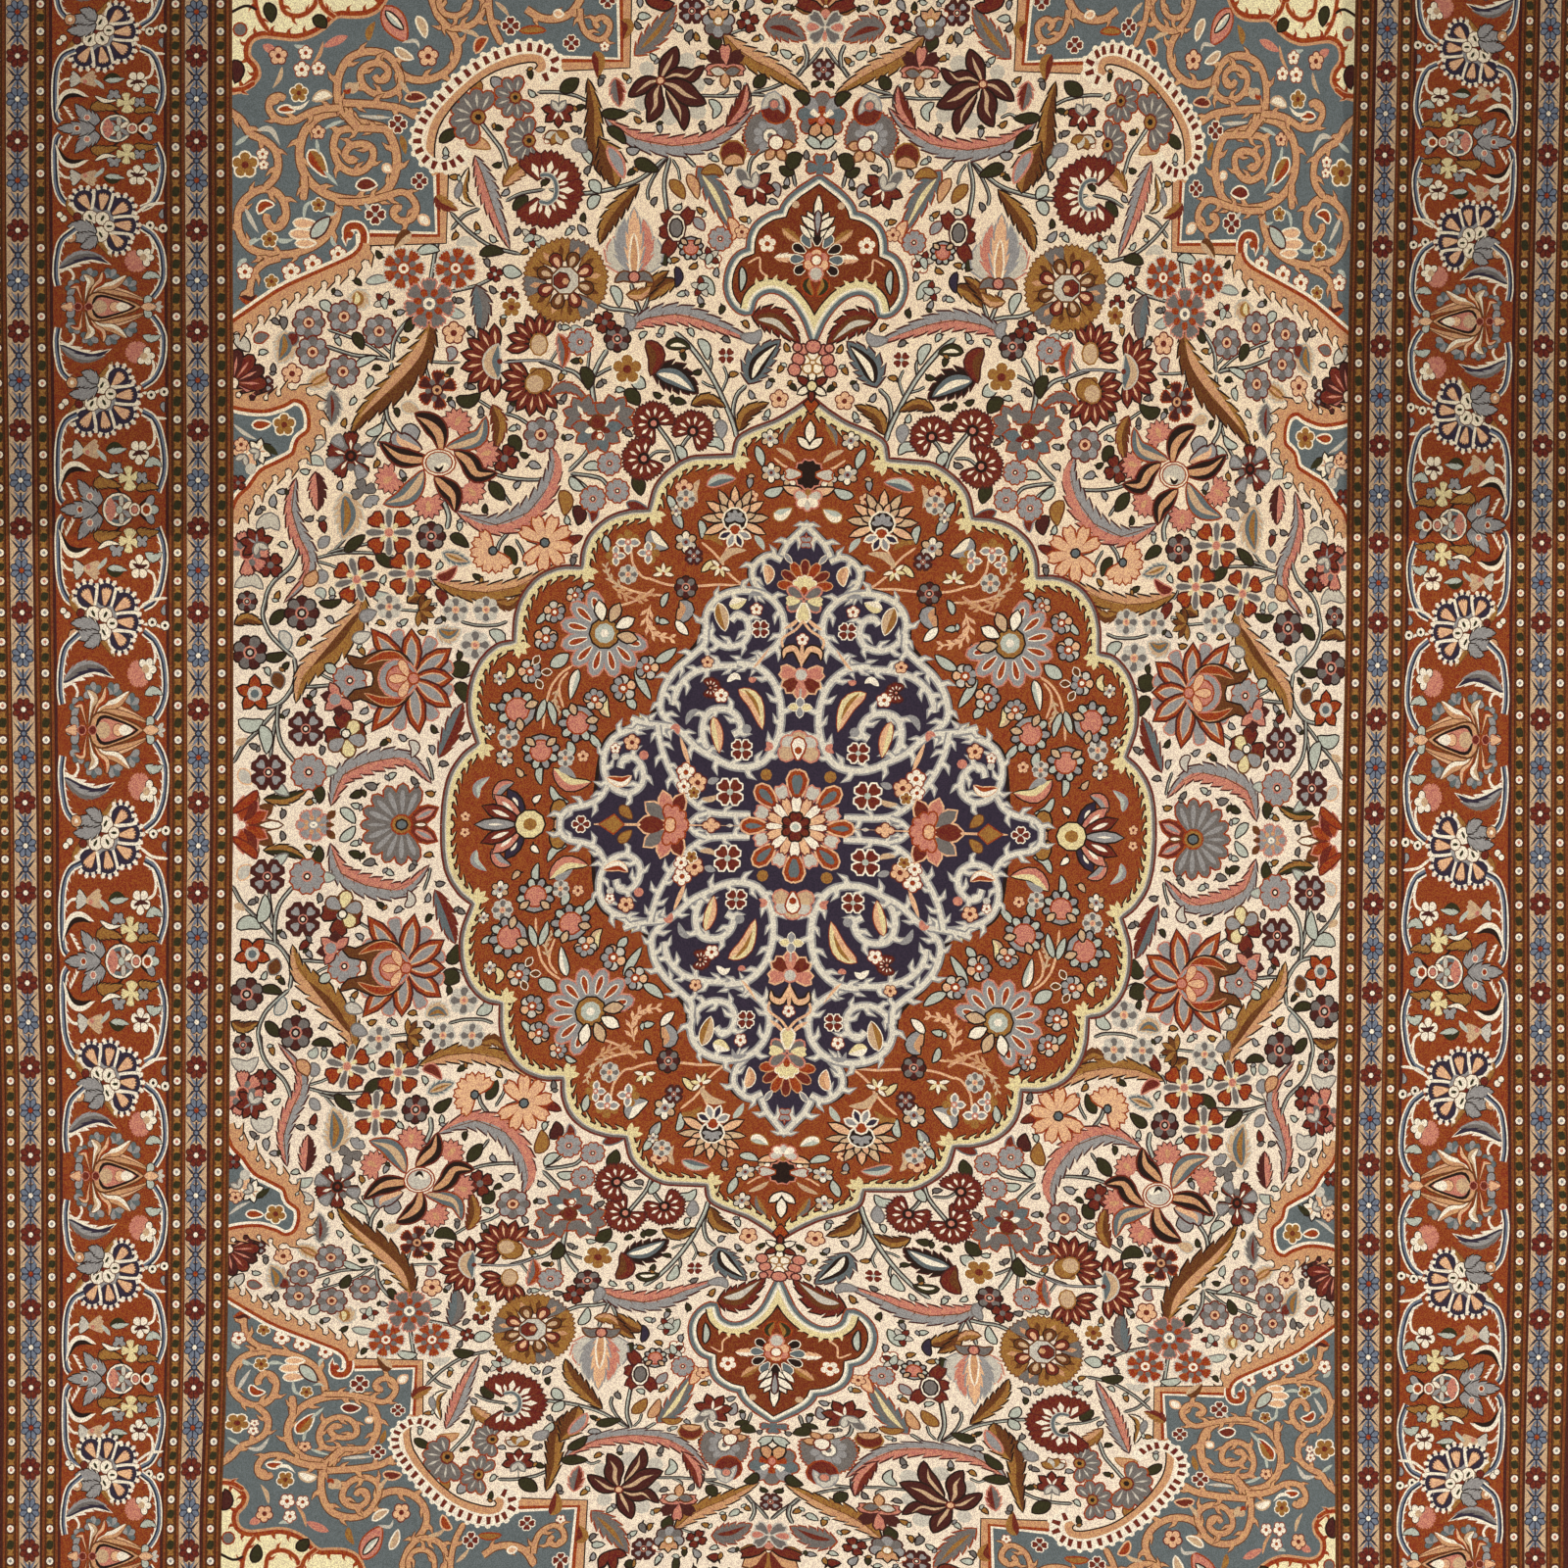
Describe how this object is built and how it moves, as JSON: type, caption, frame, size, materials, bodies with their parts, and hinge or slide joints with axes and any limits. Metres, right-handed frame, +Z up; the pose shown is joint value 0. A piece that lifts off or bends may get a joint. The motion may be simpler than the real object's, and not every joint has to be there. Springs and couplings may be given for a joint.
{
  "type": "tabriz rug",
  "caption": "Flat hand-knotted wool pile rug with a central medallion, overcast side edges, flat-woven end bands and a short knotted warp fringe, laid on a floor.",
  "frame": {"origin": "middle of the underside, on the floor", "axes": "+Z up out of the pile, +Y along the warps towards one fringed end, +X along the wefts"},
  "size_m": [1.953, 3.0888, 0.009],
  "materials": {
    "wool_pile": "clipped wool pile, matt with a soft sheen",
    "wool_overcast": "wool yarn wound round the side cord",
    "cotton_warp": "undyed twisted cotton"
  },
  "bodies": {
    "root": {"pile_body": "wool_pile", "selvedge_left": "wool_overcast", "selvedge_right": "wool_overcast", "end_band_top": "cotton_warp", "end_band_bottom": "cotton_warp"}
  },
  "joints": []
}
